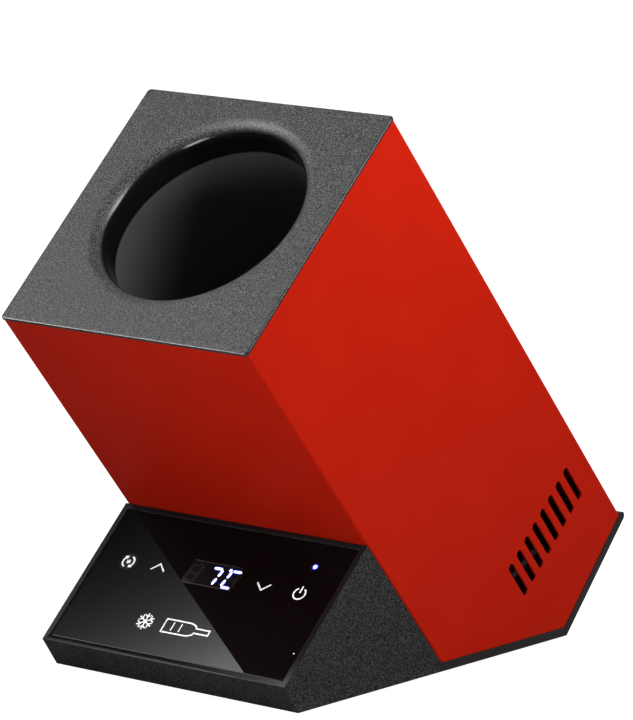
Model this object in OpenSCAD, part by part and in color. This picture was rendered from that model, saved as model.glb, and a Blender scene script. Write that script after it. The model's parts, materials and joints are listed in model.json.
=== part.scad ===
// Single-bottle wine cooler: a square steel body that leans back over a wedge-shaped control pod.
// Millimetres, front towards -Y, up is +Z, origin on the floor at the middle of the footprint's box.
// Most pieces are drawn in the body's own frame: x across, y from the front wall to the rear wall,
// and z up the body's axis, with the top of the body at z = 0, so a depth d is drawn at z = -d.

/* [Body] */
// Width of the square body, side to side and front wall to rear wall
body_w = 140; // [139:0.5:141]
// Lean of the body from upright, in degrees
lean = 43; // [42.5:0.25:43.5]
// Length of the front wall, from the top to the underside
front_len = 222.5; // [222:0.5:224]
// Length of the rear wall
rear_len = 286; // [285:0.5:287]
// Length of the flat underside of the body
base_run = 101; // [100:0.5:102]
// Thickness of the steel sheet
sheet_t = 1; // [0.8:0.1:1]
// Outside radius of the sheet's folds
fold_r = 1.6; // [1.2:0.1:2]
// Height of the rubber feet below the base
foot_h = 2; // [1.5:0.5:2.5]
// Height of the dark base band under the body
base_t = 4.3; // [4:0.1:4.5]
// How far the plastic pieces stand proud of the steel on each side
proud = 0.4; // [0.2:0.1:0.5]

/* [Chamber] */
// Radius of the bottle chamber
chamber_r = 49.5; // [49:0.1:50]
// Distance from the front wall to the chamber's axis
axis_v = 74.2; // [74:0.1:74.5]
// Radius of the soft lip around the mouth
lip_r = 7; // [6:0.5:8]
// Depth of the chamber floor below the top
chamber_deep = 197; // [196:0.5:197.5]
// Thickness of the rubber pad on the chamber floor
pad_t = 3; // [2:0.5:4]

/* [Vents] */
// Number of outlet slots in the right side wall
vent_count = 8; // [6:1:9]
// Length of an outlet slot
vent_len = 22.2; // [18:0.1:23]
// Width of an outlet slot
vent_w = 4.3; // [2.5:0.1:4.5]
// Distance from one outlet slot to the next
vent_pitch = 8.37; // [7.5:0.01:8.4]
// Distance from the front wall to the middle of the slots
vent_v = 94.3; // [92:0.1:95]
// Depth of the middle of the slots below the top
vent_d = 242.8; // [240:0.2:244]
// Number of inlet slots in the slanted panel
intake_count = 14; // [10:1:14]

/* [Fan] */
// Side of the square fan
fan_w = 80; // [79:0.5:80]
// Thickness of the fan
fan_t = 15; // [15:0.5:16]
// Number of blades on the rotor
blade_count = 7; // [5:1:9]

/* [Control pod] */
// Distance from the top of the body down its front wall to the glass
pod_deep = 134.4; // [134:0.1:135]
// Length of the sloping top of the pod
pod_run = 80.9; // [80:0.1:82]
// Width of the frame around the glass
rim_w = 2.8; // [2.5:0.1:3]
// Thickness of the glass
glass_t = 2; // [1.8:0.1:2]

/* [Hidden] */
$fn = 48;

gap = 0.15;            // air left between pieces that are put together
cut = 1;               // how far a cutting shape runs past what it cuts
sl = sin(lean);
cl = cos(lean);
base_z = foot_h + base_t;
lip_z = base_z + front_len * cl;
cover_w = body_w + 2 * proud;
edge_h = 1.6;          // height of the top cover's visible edge
edge_step = 0.35;      // small step that breaks the edge's top corner
nose_r = base_t / 2;   // round rear end of the base band

// The body's side outline in [y, z], y counted from the front edge of the top
function side(v, d) = [v * cl + d * sl, lip_z + v * sl - d * cl];
heel = [side(0, front_len)[0], base_z];
knee = [heel[0] + base_run, base_z];
tail = side(body_w, rear_len);
slant = (tail - knee) / norm(tail - knee);
slant_out = [slant[1], -slant[0]];
slant_len = norm(tail - knee);
// A point on the slanted panel: s along it from the knee, h outwards from the steel's edge
function on_slant(s, h) = knee + s * slant + h * slant_out;
band_knee = on_slant((foot_h - on_slant(0, base_t)[1]) / slant[1], base_t);
nose = on_slant(slant_len, nose_r);

front_end = side(-proud, edge_step)[0];
rear_end = nose[0] + nose_r;
front_y = -(front_end + rear_end) / 2;

// Depths of the cooling stack down the body's axis
mid_v = body_w / 2;     // middle of the square body
liner_t = 1.2;
flange_z = 16.5;
flange_t = 1.4;
flange_r = 60.5;
floor_t = 3;
pocket_r = chamber_r - 4;  // the pad's pocket in the chamber floor
block_top = chamber_deep + floor_t;
block_h = 15;
block_w = 60;
module_top = block_top + block_h;
module_h = 3.8;
module_w = 40;
sink_top = module_top + module_h;
sink_base = 5.5;
fin_end = 247;
fin_t = 1.2;
fin_pitch = 5.5;
fan_top = fin_end + 1;
fan_v = axis_v + 22;
fan_hole = 6.5 * fin_pitch;
sink_x = 100;
sink_front = axis_v - 36;
sink_rear = axis_v + 58;
fin_first = -10;
fin_last = 6;
clamp_x = 25;
clamp_v = 4.5 * fin_pitch;
block_screw_at = 14;
foam_top = 20.4;
foam_half = body_w / 2 - sheet_t - 0.3;

// Control pod
pod_w = body_w + 2 * proud;
pod_wall = 2.4;
pod_tip = side(-pod_run, pod_deep);
pod_top = side(-gap, pod_deep);
toe = [pod_tip[0] + 10.6, foot_h];
glass_drop = 0.4;
glass_top = pod_deep + glass_drop;
tape_top = glass_top + glass_t;
tape_t = 0.5;
ledge_top = tape_top + tape_t;
ledge_t = 2.2;
ledge_x = 57;
ledge_v = [-72, -8];
board_t = 1.6;
panel_z = ledge_top + ledge_t + 4;
floor_h = 2.4;
floor_top = foot_h + floor_h;
main_z = floor_top + 4.6;
main_y = [60, 118];
main_x = 50;
main_post = [44, 5];
plug_y = 117;
window_x = 22;
window_d = [203, 219];

// Places that screws, feet and keys share, as [x, y]
cover_screw_at = [for (x = [-1, 1], v = [20, 120]) [x * 62, v]];
liner_screw_at = [for (x = [-1, 1], v = [-1, 1]) [x * 40, axis_v + v * 40]];
base_tab_at = [for (x = [-1, 1], y = [172, 236]) [x * 63, y]];
pod_screw_at = [for (x = [-1, 1]) [x * 64.2, 98]];
foot_at = [for (x = [-1, 1], y = [62, 204]) [x * 54, y]];
display_post_at = [for (x = [-1, 1], v = [-20, -60]) [x * 61.5, v]];
key_at = [[-49.8, -31.3], [-31.7, -31.3], [28.7, -31.3], [49.7, -31.3]];
led_at = [49.8, -15.9];
jack_at = [50, 32];
plug_x = [-14, -5, 5, 14];

ink = "#1b1b1d";
steel = "#c3c6c9";
brass = "#b08d57";

// ---------- shared shapes ----------

module in_body() {
    translate([0, front_y, lip_z]) rotate([lean, 0, 0]) children();
}

module at_front() {
    translate([0, front_y, 0]) children();
}

// A side outline in [y, z] made w wide across x
module across(w) {
    rotate([90, 0, 90]) linear_extrude(w, center = true) children();
}

// Places a piece on the outer face of the slanted panel, its own z pointing outwards
module at_slant(x, s) {
    p = on_slant(s, base_t);
    translate([x, p[0], p[1]]) rotate([atan2(-slant_out[0], slant_out[1]), 0, 0]) children();
}

module rounded_rect(w, h, r) {
    square([w - 2 * r, h], center = true);
    square([w, h - 2 * r], center = true);
    for (x = [-1, 1], y = [-1, 1]) translate([x * (w / 2 - r), y * (h / 2 - r)]) circle(r);
}

// A square prism w wide around a point v from the front wall, from depth d1 down to depth d2
module prism(w, r, d1, d2, v = mid_v) {
    translate([0, v, -d2]) linear_extrude(d2 - d1) rounded_rect(w, w, r);
}

// A cylinder along the body's axis from depth d1 down to depth d2
module rod(x, v, r, d1, d2) {
    translate([x, v, -d2]) cylinder(r = r, h = d2 - d1);
}

// A box from corner a to corner b
module box(a, b) {
    translate(a) cube(b - a);
}

// A pan-head screw: the head sits on z = 0 and the shank runs to -length
module screw(r, length, head_r, head_h, drive_r = 1.2) {
    difference() {
        union() {
            cylinder(r = head_r, h = head_h);
            translate([0, 0, -length]) cylinder(r = r, h = length + head_h / 2);
        }
        for (a = [0, 90]) rotate(a)
            translate([-drive_r, -0.3, head_h / 2]) cube([2 * drive_r, 0.6, head_h]);
    }
}

function unit(v) = v / norm(v);
function tangent(p, i) = unit(p[min(i + 1, len(p) - 1)] - p[max(i - 1, 0)]);
function ring(c, t, up, r, n) =
    let (a = unit(cross(t, up)), b = cross(t, a))
    [for (k = [0:n - 1]) c + r * (cos(360 * k / n) * a + sin(360 * k / n) * b)];

// A round wire of radius r along a list of points
module wire(path, r, up = [1, 0, 0], n = 8) {
    last = len(path) - 1;
    points = [for (i = [0:last]) each ring(path[i], tangent(path, i), up, r, n)];
    walls = [for (i = [0:last - 1], k = [0:n - 1])
        let (a = i * n + k, b = i * n + (k + 1) % n)
        each [[a, a + n, b], [b, a + n, b + n]]];
    ends = [[for (k = [0:n - 1]) k], [for (k = [n - 1:-1:0]) last * n + k]];
    polyhedron(points, concat(walls, ends), convexity = 6);
}

// ---------- body ----------

// The steel's side outline in the body's frame, run past the tube on both sides
function heel_line(v) = -front_len - v * tan(lean);
function knee_v() = base_run * cl;
function tail_line(v) = -rear_len - (body_w - v) * (-heel_line(knee_v()) - rear_len) / (body_w - knee_v());
module steel_outline() {
    polygon([
        [-cut, cut], [body_w + cut, cut], [body_w + cut, tail_line(body_w + cut)],
        [knee_v(), heel_line(knee_v())], [-cut, heel_line(-cut)]
    ]);
}

module vent_slots() {
    first_v = vent_v - (vent_count - 1) * vent_pitch / 2;
    for (i = [0:vent_count - 1])
        translate([body_w / 2, first_v + i * vent_pitch, -vent_d]) rotate([0, 90, 0])
            linear_extrude(4 * sheet_t, center = true) {
                square([vent_len - vent_w, vent_w], center = true);
                for (e = [-1, 1]) translate([e * (vent_len - vent_w) / 2, 0]) circle(vent_w / 2, $fn = 24);
            }
}

tab_w = 12;
tab_reach = 12;
cover_tab_d = 8;
module outer_shell() {
    inner_w = body_w - 2 * sheet_t;
    deepest = -heel_line(knee_v()) + cut;
    color("#b3140a") {
        in_body() {
            difference() {
                intersection() {
                    prism(body_w, fold_r, edge_h, deepest);
                    across(body_w + 2 * cut) steel_outline();
                }
                prism(inner_w, fold_r - sheet_t, edge_h - cut, deepest + cut);
                vent_slots();
                box([-window_x, -cut, -window_d[1]], [window_x, sheet_t + cut, -window_d[0]]);
            }
            for (p = cover_screw_at) tab(p, -cover_tab_d - sheet_t);
        }
        at_front() for (p = base_tab_at) tab(p, base_z);
    }
}

// A lug folded inwards from a side wall, with its screw hole
module tab(p, z) {
    s = sign(p[0]);
    inner = body_w / 2 - tab_reach;
    difference() {
        translate([s * (inner + (tab_reach - sheet_t / 2) / 2), p[1], z + sheet_t / 2])
            cube([tab_reach - sheet_t / 2, tab_w, sheet_t], center = true);
        translate([p[0], p[1], z - cut]) cylinder(r = 1.7, h = sheet_t + 2 * cut, $fn = 24);
    }
}

cover_t = 3;
lip_wall = 2.6;
lip_steps = 16;
module top_cover() {
    plug_w = body_w - 2 * sheet_t - 0.4;
    skirt_t = 2;
    skirt_d = 7;
    lip_c = chamber_r + lip_r;
    fillet = [for (i = [0:lip_steps]) let (a = 180 - 90 * i / lip_steps)
        [lip_c + lip_r * cos(a), -lip_r + lip_r * sin(a)]];
    under = [for (i = [lip_steps:-1:0]) let (a = 180 - 90 * i / lip_steps, r = lip_r - lip_wall)
        [lip_c + r * cos(a), -lip_r + r * sin(a)]];
    color(ink) in_body() {
        difference() {
            union() {
                prism(cover_w, fold_r + proud, edge_step, edge_h);
                prism(cover_w - 2 * edge_step, fold_r, 0, edge_h);
                prism(plug_w, fold_r, edge_h / 2, cover_t);
                difference() {
                    prism(plug_w, fold_r, cover_t - 0.1, skirt_d);
                    prism(plug_w - 2 * skirt_t, fold_r, 0, skirt_d + cut);
                }
                for (p = cover_screw_at) rod(p[0], p[1], 3.5, cover_t / 2, cover_tab_d - gap);
            }
            rod(0, axis_v, lip_c + 0.5, -cut, flange_z + cut);
            for (p = cover_screw_at) rod(p[0], p[1], 1.4, cover_t - 0.4, cover_tab_d + cut);
        }
        translate([0, axis_v, 0]) rotate_extrude($fn = 96)
            polygon(concat(
                [[chamber_r, -flange_z + 0.05]], fillet, [[lip_c + cut, 0], [lip_c + cut, -lip_wall]], under,
                [[chamber_r + lip_wall, -flange_z + 0.05]]
            ));
        for (p = liner_screw_at) difference() {
            rod(p[0], p[1], 3.2, 3.4, flange_z - 0.05);
            rod(p[0], p[1], 1.4, 7, flange_z + cut);
        }
    }
}

module cover_screws() {
    color(steel) in_body() for (p = cover_screw_at)
        translate([p[0], p[1], -cover_tab_d - sheet_t - 0.05]) rotate([180, 0, 0]) screw(1.35, 6, 2.8, 1.8);
}

module chamber_liner() {
    color("#26282b") in_body() difference() {
        translate([0, axis_v, 0]) rotate_extrude($fn = 96) polygon([
            [chamber_r, -flange_z], [flange_r, -flange_z], [flange_r, -flange_z - flange_t],
            [chamber_r + liner_t, -flange_z - flange_t], [chamber_r + liner_t, -block_top],
            [0, -block_top], [0, -chamber_deep], [pocket_r, -chamber_deep],
            [pocket_r, -chamber_deep + pad_t], [chamber_r, -chamber_deep + pad_t]
        ]);
        for (p = liner_screw_at) rod(p[0], p[1], 1.7, flange_z - cut, flange_z + flange_t + cut);
        block_screw_holes();
    }
}

module block_screw_holes() {
    for (x = [-1, 1], v = [-1, 1]) {
        rod(x * block_screw_at, axis_v + v * block_screw_at, 1.6, chamber_deep - cut, block_top + cut);
        translate([x * block_screw_at, axis_v + v * block_screw_at, -chamber_deep - 1.6])
            cylinder(r1 = 1.6, r2 = 3.3, h = 1.7);
    }
}

module liner_screws() {
    color(steel) in_body() for (p = liner_screw_at)
        translate([p[0], p[1], -flange_z - flange_t - 0.05]) rotate([180, 0, 0]) screw(1.35, 7, 2.8, 1.8);
}

module bottle_pad() {
    color("#3a3b3d") in_body() difference() {
        rod(0, axis_v, pocket_r - 0.3, chamber_deep - pad_t, chamber_deep - 0.05);
        rod(0, axis_v, 6, chamber_deep - pad_t - cut, chamber_deep + cut);
        for (r = [14:8:38]) translate([0, axis_v, -chamber_deep + pad_t]) rotate_extrude()
            translate([r, 0]) circle(0.8, $fn = 16);
    }
}

// ---------- cooling stack ----------

module foam_block() {
    difference() {
        prism(2 * foam_half, fold_r, foam_top, sink_top - 0.2);
        rod(0, axis_v, chamber_r + liner_t + 0.2, foam_top - cut, block_top + 0.2);
        prism(block_w + 0.6, fold_r, block_top, sink_top + cut, axis_v);
        box([-window_x + 2, 0, -sink_top - cut],
            [window_x - 2, axis_v - block_w / 2 + cut, -window_d[0] - 1]);
    }
}

module foam_half_of(s) {
    color("#e9e9e4") in_body() intersection() {
        foam_block();
        translate([s > 0 ? 0.1 : -body_w - 0.1, 0, -rear_len]) cube([body_w, body_w, rear_len]);
    }
}

module insulation_left() { foam_half_of(-1); }
module insulation_right() { foam_half_of(1); }

probe_x = plug_x[1];
probe_d = 207.5;
probe_len = 14;
module cold_block() {
    front = axis_v - block_w / 2;
    color("#b9bcbf") in_body() difference() {
        prism(block_w, fold_r, block_top + 0.05, module_top, axis_v);
        for (x = [-1, 1], v = [-1, 1]) {
            rod(x * block_screw_at, axis_v + v * block_screw_at, 1.5, block_top - cut, block_top + 10);
            rod(x * clamp_x, axis_v + v * clamp_v, 1.5, module_top - 10, module_top + cut);
        }
        translate([probe_x, front - cut, -probe_d]) rotate([-90, 0, 0])
            cylinder(r = 2.6, h = probe_len + cut);
    }
}

module block_screws() {
    color(steel) in_body() for (x = [-1, 1], v = [-1, 1])
        translate([x * block_screw_at, axis_v + v * block_screw_at, -chamber_deep]) {
            translate([0, 0, -10]) cylinder(r = 1.45, h = 9);
            difference() {
                translate([0, 0, -1.55]) cylinder(r1 = 1.45, r2 = 3, h = 1.5);
                for (a = [0, 90]) rotate(a) translate([-1.2, -0.3, -0.6]) cube([2.4, 0.6, 1]);
            }
        }
}

module temperature_probe() {
    front = axis_v - block_w / 2;
    color(steel) in_body() translate([probe_x, front - 2, -probe_d]) rotate([-90, 0, 0])
        cylinder(r = 2.5, h = probe_len + 1.5);
}

module peltier_module() {
    plate = 0.8;
    leg = 2.4;
    rows = 6;
    pitch = 6.4;
    color("#f1efe8") in_body() {
        for (d = [module_top + 0.02, sink_top - plate - 0.02]) prism(module_w, 0.4, d, d + plate, axis_v);
        for (i = [0:rows - 1], j = [0:rows - 1])
            translate([(i - (rows - 1) / 2) * pitch, axis_v + (j - (rows - 1) / 2) * pitch,
                       -(module_top + sink_top) / 2])
                cube([leg, leg, module_h - plate], center = true);
    }
}

module peltier_gasket() {
    color("#55585c") in_body() difference() {
        prism(block_w, fold_r, module_top + 0.05, sink_top - 0.05, axis_v);
        prism(module_w + 1, 0.5, module_top - cut, sink_top + cut, axis_v);
        for (x = [-1, 1], v = [-1, 1])
            rod(x * clamp_x, axis_v + v * clamp_v, 1.8, module_top - cut, sink_top + cut);
        box([plug_x[2] - 4, axis_v - block_w / 2 - cut, -sink_top - cut],
            [plug_x[2] + 4, axis_v - module_w / 2, -module_top + cut]);
    }
}

module heat_sink() {
    color("#8f9397") in_body() difference() {
        union() {
            box([-sink_x / 2, sink_front, -sink_top - sink_base], [sink_x / 2, sink_rear, -sink_top]);
            for (i = [fin_first:fin_last])
                box([-sink_x / 2, fan_v + i * fin_pitch - fin_t / 2, -fin_end],
                    [sink_x / 2, fan_v + i * fin_pitch + fin_t / 2, -sink_top - sink_base + 0.1]);
        }
        for (x = [-1, 1], v = [-1, 1]) {
            rod(x * clamp_x, axis_v + v * clamp_v, 2, sink_top - cut, sink_top + sink_base + cut);
            rod(x * clamp_x, axis_v + v * clamp_v, 4.4, sink_top + sink_base, fin_end + cut);
        }
    }
}

washer_t = 1;
module clamp_washers() {
    washer_d = sink_top + sink_base + 0.05;
    color("#e8e3d2") in_body() for (x = [-1, 1], v = [-1, 1]) difference() {
        rod(x * clamp_x, axis_v + v * clamp_v, 3.8, washer_d, washer_d + washer_t);
        rod(x * clamp_x, axis_v + v * clamp_v, 1.7, sink_top, fin_end);
    }
}

module clamp_screws() {
    color(steel) in_body() for (x = [-1, 1], v = [-1, 1])
        translate([x * clamp_x, axis_v + v * clamp_v, -sink_top - sink_base - washer_t - 0.05])
            rotate([180, 0, 0]) screw(1.45, 18, 2.9, 2);
}

hub_r = 16.5;
hub_top = fan_top + 1;
strut_t = 2.5;
bore_r = fan_w / 2 - 1.5;
shaft_r = 1.5;
shaft_gap = 0.05;
stator_top = hub_top + 2.5;
module fan_frame() {
    bottom = fan_top + fan_t;
    strut_top = bottom - strut_t;
    color(ink) in_body() translate([0, fan_v, 0]) {
        difference() {
            translate([0, 0, -bottom]) linear_extrude(fan_t) rounded_rect(fan_w, fan_w, 4);
            translate([0, 0, -bottom - cut]) cylinder(r = bore_r, h = fan_t + 2 * cut, $fn = 72);
            fan_holes(2.2, fan_top - cut, bottom + cut);
        }
        difference() {
            union() {
                rod(0, 0, hub_r, strut_top, bottom);
                rod(0, 0, hub_r - 4, stator_top, strut_top + 0.1);
                for (a = [45:90:315]) rotate(a)
                    translate([hub_r - 1, -2, -bottom]) cube([bore_r - hub_r + 2, 4, strut_t]);
            }
            rod(0, 0, shaft_r + shaft_gap, stator_top - cut, bottom - 1);
        }
    }
}

module fan_holes(r, d1, d2) {
    for (x = [-1, 1], v = [-1, 1]) rod(x * fan_hole, v * fan_hole, r, d1, d2);
}

module fan_rotor() {
    hub_end = fan_top + fan_t - strut_t - 0.5;
    blade_pitch = 38;
    blade_t = 1.4;
    blade_h = 10.5;
    tip_r = bore_r - 0.9;
    color("#2a2a2c") in_body() translate([0, fan_v, 0]) {
        difference() {
            rod(0, 0, hub_r, hub_top, hub_end);
            rod(0, 0, hub_r - 1.5, hub_top + 1.5, hub_end + cut);
        }
        rod(0, 0, shaft_r, hub_top + 1, fan_top + fan_t - 1.3);
        difference() {
            intersection() {
                rod(0, 0, tip_r, hub_top, hub_end);
                for (i = [0:blade_count - 1]) rotate(i * 360 / blade_count)
                    translate([(hub_r + tip_r) / 2, 0, -(hub_top + hub_end) / 2]) rotate([blade_pitch, 0, 0])
                        cube([tip_r - hub_r + 4, blade_t, 2 * blade_h], center = true);
            }
            rod(0, 0, hub_r - 0.8, hub_top - cut, hub_end + cut);
        }
    }
}

module fan_screws() {
    color(steel) in_body() for (x = [-1, 1], v = [-1, 1])
        translate([x * fan_hole, fan_v + v * fan_hole, -fan_top - fan_t - 0.05])
            rotate([180, 0, 0]) screw(2.05, 23, 3.6, 2.4, 2);
}

// ---------- control pod ----------

// A box x wide to each side, between two places v on the sloping top, from depth d1 to d2
module on_slope(x, v, d1, d2) {
    box([-x, v[0], -d2], [x, v[1], -d1]);
}

module control_housing() {
    down = (toe - pod_tip) / norm(toe - pod_tip);
    foot_in = toe + pod_wall * [-down[1], down[0]];
    window_pad = 2;
    floor_hole = pod_w / 2 - pod_wall + 0.1;
    color(ink) difference() {
        union() {
            difference() {
                at_front() across(pod_w) polygon([
                    pod_top, pod_tip, toe, [heel[0] - gap, foot_h], [heel[0] - gap, base_z]
                ]);
                at_front() across(pod_w - 2 * pod_wall) polygon([
                    side(-pod_wall, ledge_top + ledge_t), side(-pod_run + pod_wall, ledge_top + ledge_t),
                    foot_in, [foot_in[0] + cut, foot_h - cut], [heel[0], foot_h - cut],
                    side(-pod_wall, front_len + cut)
                ]);
            }
            in_body() for (p = display_post_at) rod(p[0], p[1], 3, ledge_top + cut, panel_z - 0.05);
            at_front() for (p = pod_screw_at)
                translate([p[0], p[1], floor_top + 0.05]) cylinder(r = 4, h = 16);
        }
        in_body() {
            on_slope(pod_w / 2 - rim_w, [-pod_run + rim_w, -rim_w], pod_deep - cut, ledge_top);
            on_slope(ledge_x, ledge_v, ledge_top - cut, ledge_top + ledge_t + cut);
            box([-window_x, -pod_wall - cut, -window_d[1]], [window_x, window_pad, -window_d[0]]);
            for (p = display_post_at) rod(p[0], p[1], 1.2, ledge_top + ledge_t, panel_z + cut);
        }
        at_front() {
            box([-floor_hole, toe[0] + 3.2, 0], [floor_hole, heel[0] + cut, floor_top + gap]);
            for (p = pod_screw_at) translate([p[0], p[1], 0]) cylinder(r = 1.4, h = floor_top + 13);
        }
    }
}

module touch_glass() {
    half = pod_w / 2 - rim_w - gap;
    span = pod_run - 2 * rim_w - 2 * gap;
    color("#050506") in_body() translate([0, -pod_run / 2, -glass_top - glass_t])
        linear_extrude(glass_t) rounded_rect(2 * half, span, 1);
}

module glass_tape() {
    edge = pod_w / 2 - rim_w - 0.5;
    color("#303030") in_body() difference() {
        on_slope(edge, [-pod_run + rim_w + 0.5, -rim_w - 0.5], tape_top + 0.02, ledge_top - 0.02);
        on_slope(ledge_x, ledge_v, tape_top - cut, ledge_top + cut);
    }
}

module display_board() {
    color("#11402a") in_body() difference() {
        on_slope(65.4, [-67, -10], panel_z, panel_z + board_t);
        for (p = display_post_at) rod(p[0], p[1], 1.6, panel_z - cut, panel_z + board_t + cut);
    }
}

module display_screws() {
    color(steel) in_body() for (p = display_post_at)
        translate([p[0], p[1], -panel_z - board_t - 0.05]) rotate([180, 0, 0]) screw(1.15, 5, 2.4, 1.6);
}

digit_x = [-14.6, 16];
digit_v = [-40.2, -23.2];
module digit_display() {
    face = tape_top + 0.3;
    color("#2c2c30") in_body()
        box([digit_x[0], digit_v[0], -panel_z + 0.02], [digit_x[1], digit_v[1], -face]);
}

module status_led() {
    color("#dfe6ff") in_body() {
        rod(led_at[0], led_at[1], 1.5, tape_top + 0.8, panel_z - 0.02);
        rod(led_at[0], led_at[1], 1.9, panel_z - 1.2, panel_z - 0.02);
    }
}

module touch_springs() {
    turns = 3;
    steps = 12;
    wire_r = 0.35;
    coil_r = 3.2;
    rise = panel_z - tape_top - 2 * wire_r - 0.3;
    color(brass) in_body() for (p = key_at)
        translate([p[0], p[1], -panel_z + wire_r + 0.15])
            wire([for (i = [0:turns * steps]) [
                coil_r * cos(360 * i / steps), coil_r * sin(360 * i / steps), rise * i / (turns * steps)
            ]], wire_r, up = [0, 0, 1], n = 6);
}

module main_board() {
    color("#11402a") at_front() difference() {
        box([-main_x, main_y[0], main_z], [main_x, main_y[1], main_z + board_t]);
        for (p = main_posts()) translate([p[0], p[1], main_z - cut]) cylinder(r = 1.6, h = board_t + 2 * cut);
    }
}

function main_posts() = [for (x = [-1, 1], y = [main_y[0] + main_post[1], main_y[1] - main_post[1]])
    [x * main_post[0], y]];

module board_parts() {
    top = main_z + board_t + 0.02;
    at_front() {
        color("#e9e7df") for (x = plug_x) box([x - 4, plug_y - 6.5, top], [x + 4, plug_y, top + 7]);
        color("#e9e7df") box([-7, 84, top], [7, 88.5, top + 7]);
        color("#22303f") for (x = [-30, 30]) translate([x, 98, top]) cylinder(r = 5, h = 12);
        color("#161616") box([-34, 70, top], [-22, 82, top + 2]);
        color("#161616") box([20, 72, top], [36, 76.5, top + 10]);
        color("#8a5a2b") translate([16, 100, top]) difference() {
            cylinder(r = 6, h = 6);
            translate([0, 0, 1]) cylinder(r = 2.5, h = 6);
        }
    }
}

module board_screws() {
    color(steel) at_front() for (p = main_posts())
        translate([p[0], p[1], main_z + board_t + 0.05]) screw(1.2, 5, 2.6, 1.8);
}

// ---------- base ----------

band_side = 3;
slot_w = 3.6;
slot_len = 44;
slot_pitch = 7;
module band_outline(h) {
    // The band between the steel's edge (h = base_t) or the inside of its panel and the outside
    inner_knee = on_slant((foot_h + h - on_slant(0, base_t - h)[1]) / slant[1], base_t - h);
    polygon([
        [heel[0] + gap, foot_h], [heel[0] + gap, foot_h + h], inner_knee,
        on_slant(slant_len, base_t - h), on_slant(slant_len, base_t), band_knee
    ]);
}

module bottom_cover() {
    band_w = pod_w;
    floor_x = pod_w / 2 - pod_wall - gap - 0.1;
    rib_t = 2;
    color(ink) at_front() difference() {
        union() {
            across(band_w) band_outline(floor_h);
            difference() {
                across(band_w) band_outline(base_t - 0.02);
                across(band_w - 2 * band_side) band_outline(base_t + cut);
            }
            across(band_w) translate(nose) circle(nose_r - 0.01, $fn = 32);
            box([-floor_x, toe[0] + 3.4, foot_h], [floor_x, heel[0] + cut, floor_top]);
            for (x = [-1, 1]) translate([x * (body_w / 2 - sheet_t - rib_t / 2 - 0.3), 204, floor_top + 3])
                cube([rib_t, 40, 6.2], center = true);
            for (p = main_posts())
                translate([p[0], p[1], floor_top - 0.1]) cylinder(r = 3, h = main_z - floor_top + 0.05);
        }
        for (p = main_posts()) translate([p[0], p[1], floor_top]) cylinder(r = 1.3, h = main_z);
        for (p = foot_at) translate([p[0], p[1], 0]) cylinder(r = 3.1, h = 2 * base_z);
        for (p = concat(base_tab_at, pod_screw_at)) translate([p[0], p[1], 0]) {
            cylinder(r = 1.7, h = 2 * base_z);
            cylinder(r = 3.2, h = foot_h + 1.2);
        }
        for (i = [0:intake_count - 1]) at_slant(-56 + i * slot_pitch, slant_len / 2) {
            translate([-slot_w / 2, -slot_len / 2 + slot_w / 2, -base_t - cut])
                cube([slot_w, slot_len - slot_w, 2 * base_t]);
            for (e = [-1, 1]) translate([0, e * (slot_len - slot_w) / 2, -base_t - cut])
                cylinder(r = slot_w / 2, h = 2 * base_t, $fn = 24);
        }
        at_slant(jack_at[0], jack_at[1]) translate([0, 0, -base_t - cut]) cylinder(r = 5.1, h = 2 * base_t);
    }
}

module base_screws() {
    color(steel) at_front() for (p = concat(base_tab_at, pod_screw_at))
        translate([p[0], p[1], foot_h + 1.15]) rotate([180, 0, 0]) screw(1.35, 9, 3, 1.1);
}

module rubber_feet() {
    color("#202022") at_front() for (p = foot_at) translate([p[0], p[1], 0]) {
        cylinder(r1 = 6.4, r2 = 7, h = foot_h - 0.02);
        cylinder(r = 3, h = floor_top + 1);
        translate([0, 0, floor_top + 0.05]) cylinder(r1 = 3.8, r2 = 3.2, h = 1.4);
    }
}

module power_inlet() {
    barrel = 14;
    color("#2b2c2e") at_front() at_slant(jack_at[0], jack_at[1]) difference() {
        union() {
            translate([0, 0, -barrel]) cylinder(r = 5, h = barrel + 0.5);
            translate([0, 0, 0.02]) cylinder(r = 6.4, h = 1.2);
            translate([0, 0, -floor_h - 2.6]) cylinder(r = 7, h = 2.5, $fn = 6);
        }
        difference() {
            translate([0, 0, -9]) cylinder(r = 2.8, h = 9 + 2 * cut);
            translate([0, 0, -9 - cut]) cylinder(r = 1.05, h = 9);
        }
    }
}

// ---------- leads, in the body's frame ----------

// From the slot in the front wall to a plug on the main board
function to_plug(x) = [[x, 5, -214.5], [x, -2, -209], [x, -10, -201.8], [x, -15, -197.4], [x, -19, -194]];

module fan_lead() {
    x = plug_x[0];
    color("#3b3b3d") in_body() wire(concat([
        [x, fan_v - fan_w / 2 - 0.3, -257], [x, 46, -256], [x, 38, -252.5], [x, 30, -246], [x, 22, -236],
        [x, 13, -225]
    ], to_plug(x)), 1.2);
}

module peltier_leads() {
    start = axis_v - module_w / 2 - 0.3;
    lead_d = (module_top + sink_top) / 2;
    for (dx = [-2, 2]) color(dx < 0 ? "#b02020" : "#1a1a1a") in_body() {
        x = plug_x[2] + dx;
        wire(concat([
            [x, start, -lead_d], [x, start - 10, -lead_d], [x, 30, -lead_d + 1], [x, 16, -lead_d + 1.4]
        ], to_plug(x)), 0.9);
    }
}

module probe_lead() {
    x = plug_x[1];
    color("#e8e8e8") in_body() wire([
        [x, axis_v - block_w / 2 - 2.2, -probe_d], [x, 30, -probe_d - 0.5], [x, 16, -probe_d - 1.5],
        [x, 5, -probe_d - 3], [x, -2, -206.5], [x, -10, -201], [x, -15, -197.2], [x, -19, -194]
    ], 0.8);
}

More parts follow.
